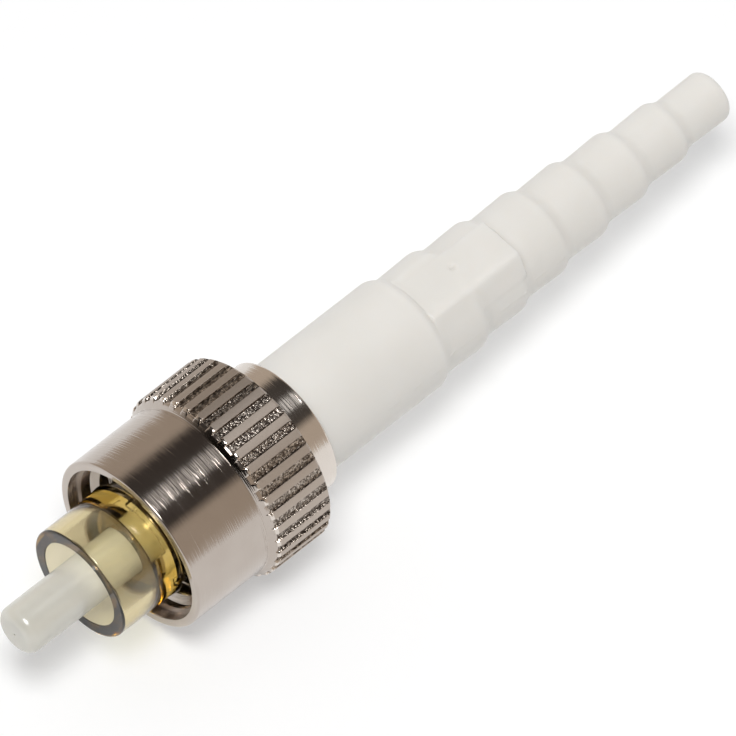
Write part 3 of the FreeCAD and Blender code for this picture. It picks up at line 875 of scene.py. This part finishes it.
# The room: metal mirrors warm grey walls, a dark ceiling with one white panel, and a dark end in front.
# Matt surfaces get a plain soft light, stronger from the far side. The camera and clear plastic see white.
# Each wall tone stands at its angle from straight overhead, in degrees.
WALL_TONES = ((35, "#443F3B"), (51, "#C1B4A6"), (76, "#C1B4A6"), (92, "#DDD5CC"))
FRONT_END = -0.92
FRONT_START = -0.6
FRONT_SHARE = 0.04
PANEL_TURN = math.radians(-4.5)
PANEL_TURN_CORE = math.radians(7)
PANEL_TURN_RIM = math.radians(15)
PANEL_WAY = 0.57
PANEL_WAY_CORE = 0.1
PANEL_WAY_RIM = 0.24
AMBIENT_WAY = (0.6, 0.8, 0)
AMBIENT_LOW = 0.02
AMBIENT_HIGH = 0.68
world = bpy.data.worlds.new("white_room")
bpy.context.scene.world = world
world.use_nodes = True
tree = world.node_tree
tree.nodes.clear()
rays = add(tree, "ShaderNodeLightPath", {})
place = add(tree, "ShaderNodeTexCoord", {})
axes = add(tree, "ShaderNodeSeparateXYZ", {"Vector": place.outputs["Generated"]})
side = add(tree, "ShaderNodeMath", {0: axes.outputs["Y"], 1: axes.outputs["Z"]}, operation="ARCTAN2")
from_top = add(tree, "ShaderNodeMath", {0: side.outputs["Value"]}, operation="ABSOLUTE")
turn_share = add(tree, "ShaderNodeMath", {0: from_top.outputs["Value"], 1: math.pi}, operation="DIVIDE")
walls = add(tree, "ShaderNodeValToRGB", {"Fac": turn_share.outputs["Value"]})
walls.color_ramp.interpolation = "EASE"
stops = walls.color_ramp.elements
for number, (angle, colour) in enumerate(WALL_TONES):
    stop_mark = stops[number] if number < len(stops) else stops.new(1)
    stop_mark.position = 2 * angle / FULL_TURN
    stop_mark.color = linear(colour)
front = add(tree, "ShaderNodeMapRange", {
    "Value": axes.outputs["X"], "From Min": FRONT_END, "From Max": FRONT_START, "To Min": FRONT_SHARE,
    "To Max": 1}, interpolation_type="SMOOTHSTEP")
room = add(tree, "ShaderNodeMix", {
    "Factor": 1, "A": walls.outputs["Color"], "B": front.outputs["Result"]},
    data_type="RGBA", blend_type="MULTIPLY")
panel = 1
for value, middle, core, rim in (
        (side.outputs["Value"], PANEL_TURN, PANEL_TURN_CORE, PANEL_TURN_RIM),
        (axes.outputs["X"], PANEL_WAY, PANEL_WAY_CORE, PANEL_WAY_RIM)):
    off = add(tree, "ShaderNodeMath", {0: value, 1: middle}, operation="SUBTRACT")
    away = add(tree, "ShaderNodeMath", {0: off.outputs["Value"]}, operation="ABSOLUTE")
    within = add(tree, "ShaderNodeMapRange", {
        "Value": away.outputs["Value"], "From Min": core, "From Max": rim, "To Min": 1, "To Max": 0},
        interpolation_type="SMOOTHSTEP")
    product = add(tree, "ShaderNodeMath", {0: within.outputs["Result"], 1: panel}, operation="MULTIPLY")
    panel = product.outputs["Value"]
lit = add(tree, "ShaderNodeMix", {
    "Factor": panel, "A": room.outputs["Result"], "B": linear("#FFFFFF")}, data_type="RGBA")
towards = add(tree, "ShaderNodeVectorMath", {
    0: place.outputs["Generated"], 1: AMBIENT_WAY}, operation="DOT_PRODUCT")
ambient = add(tree, "ShaderNodeMapRange", {
    "Value": towards.outputs["Value"], "From Min": -1, "To Min": AMBIENT_LOW, "To Max": AMBIENT_HIGH})
shown = add(tree, "ShaderNodeMix", {
    "Factor": rays.outputs["Is Glossy Ray"], "A": ambient.outputs["Result"], "B": lit.outputs["Result"]},
    data_type="RGBA")
clear = add(tree, "ShaderNodeMath", {
    0: rays.outputs["Is Camera Ray"], 1: rays.outputs["Is Transmission Ray"]}, operation="MAXIMUM")
seen = add(tree, "ShaderNodeMix", {
    "Factor": clear.outputs["Value"], "A": shown.outputs["Result"], "B": linear("#FFFFFF")},
    data_type="RGBA")
sky = add(tree, "ShaderNodeBackground", {"Color": seen.outputs["Result"], "Strength": 1})
add(tree, "ShaderNodeOutputWorld", {"Surface": sky.outputs["Background"]})

# The camera: a long lens far off, so that the plug shows almost without perspective.
# It looks down on the plug from its front left.
PHOTO_SIDE = 736
SENSOR = 36
CAMERA_REACH = 1.5
CAMERA_AZIMUTH = math.radians(-43.8)
CAMERA_ELEVATION = math.radians(54.0)
PIXELS_A_MM = 21.63
AIM_STATION = 18.3
AIM_RIGHT = 0.08
AIM_DOWN = 0.28
camera_way = Vector((
    math.cos(CAMERA_ELEVATION) * math.sin(CAMERA_AZIMUTH),
    -math.cos(CAMERA_ELEVATION) * math.cos(CAMERA_AZIMUTH),
    math.sin(CAMERA_ELEVATION)))
camera_right = Vector((0, 0, 1)).cross(camera_way).normalized()
camera_up = camera_way.cross(camera_right)
aim = (Vector((AIM_STATION, 0, 0)) + AIM_RIGHT * camera_right - AIM_DOWN * camera_up) * MM
camera = bpy.data.objects.new("camera", bpy.data.cameras.new("camera"))
camera.data.sensor_width = SENSOR
camera.data.lens = PIXELS_A_MM * CAMERA_REACH / MM * SENSOR / PHOTO_SIDE
camera.location = aim + camera_way * CAMERA_REACH
camera.rotation_euler = camera_way.to_track_quat("Z", "Y").to_euler()
bpy.context.scene.collection.objects.link(camera)
bpy.context.scene.camera = camera
bpy.context.scene.view_settings.view_transform = "Standard"

# The key light: one soft lamp beside the camera, up and a little to its left, so that the shadow lies
# close along the plug's lower right.
LAMP_REACH = 0.8
LAMP_SIZE = 0.3
LAMP_POWER = 4.85
LAMP_LEFT = 0.05
LAMP_UP = 0.3
lamp_way = (camera_way - LAMP_LEFT * camera_right + LAMP_UP * camera_up).normalized()
lamp = bpy.data.lights.new("soft_lamp", "AREA")
lamp.size = LAMP_SIZE
lamp.energy = LAMP_POWER
soft_lamp = bpy.data.objects.new("soft_lamp", lamp)
soft_lamp.location = aim + lamp_way * LAMP_REACH
soft_lamp.rotation_euler = lamp_way.to_track_quat("Z", "Y").to_euler()
bpy.context.scene.collection.objects.link(soft_lamp)
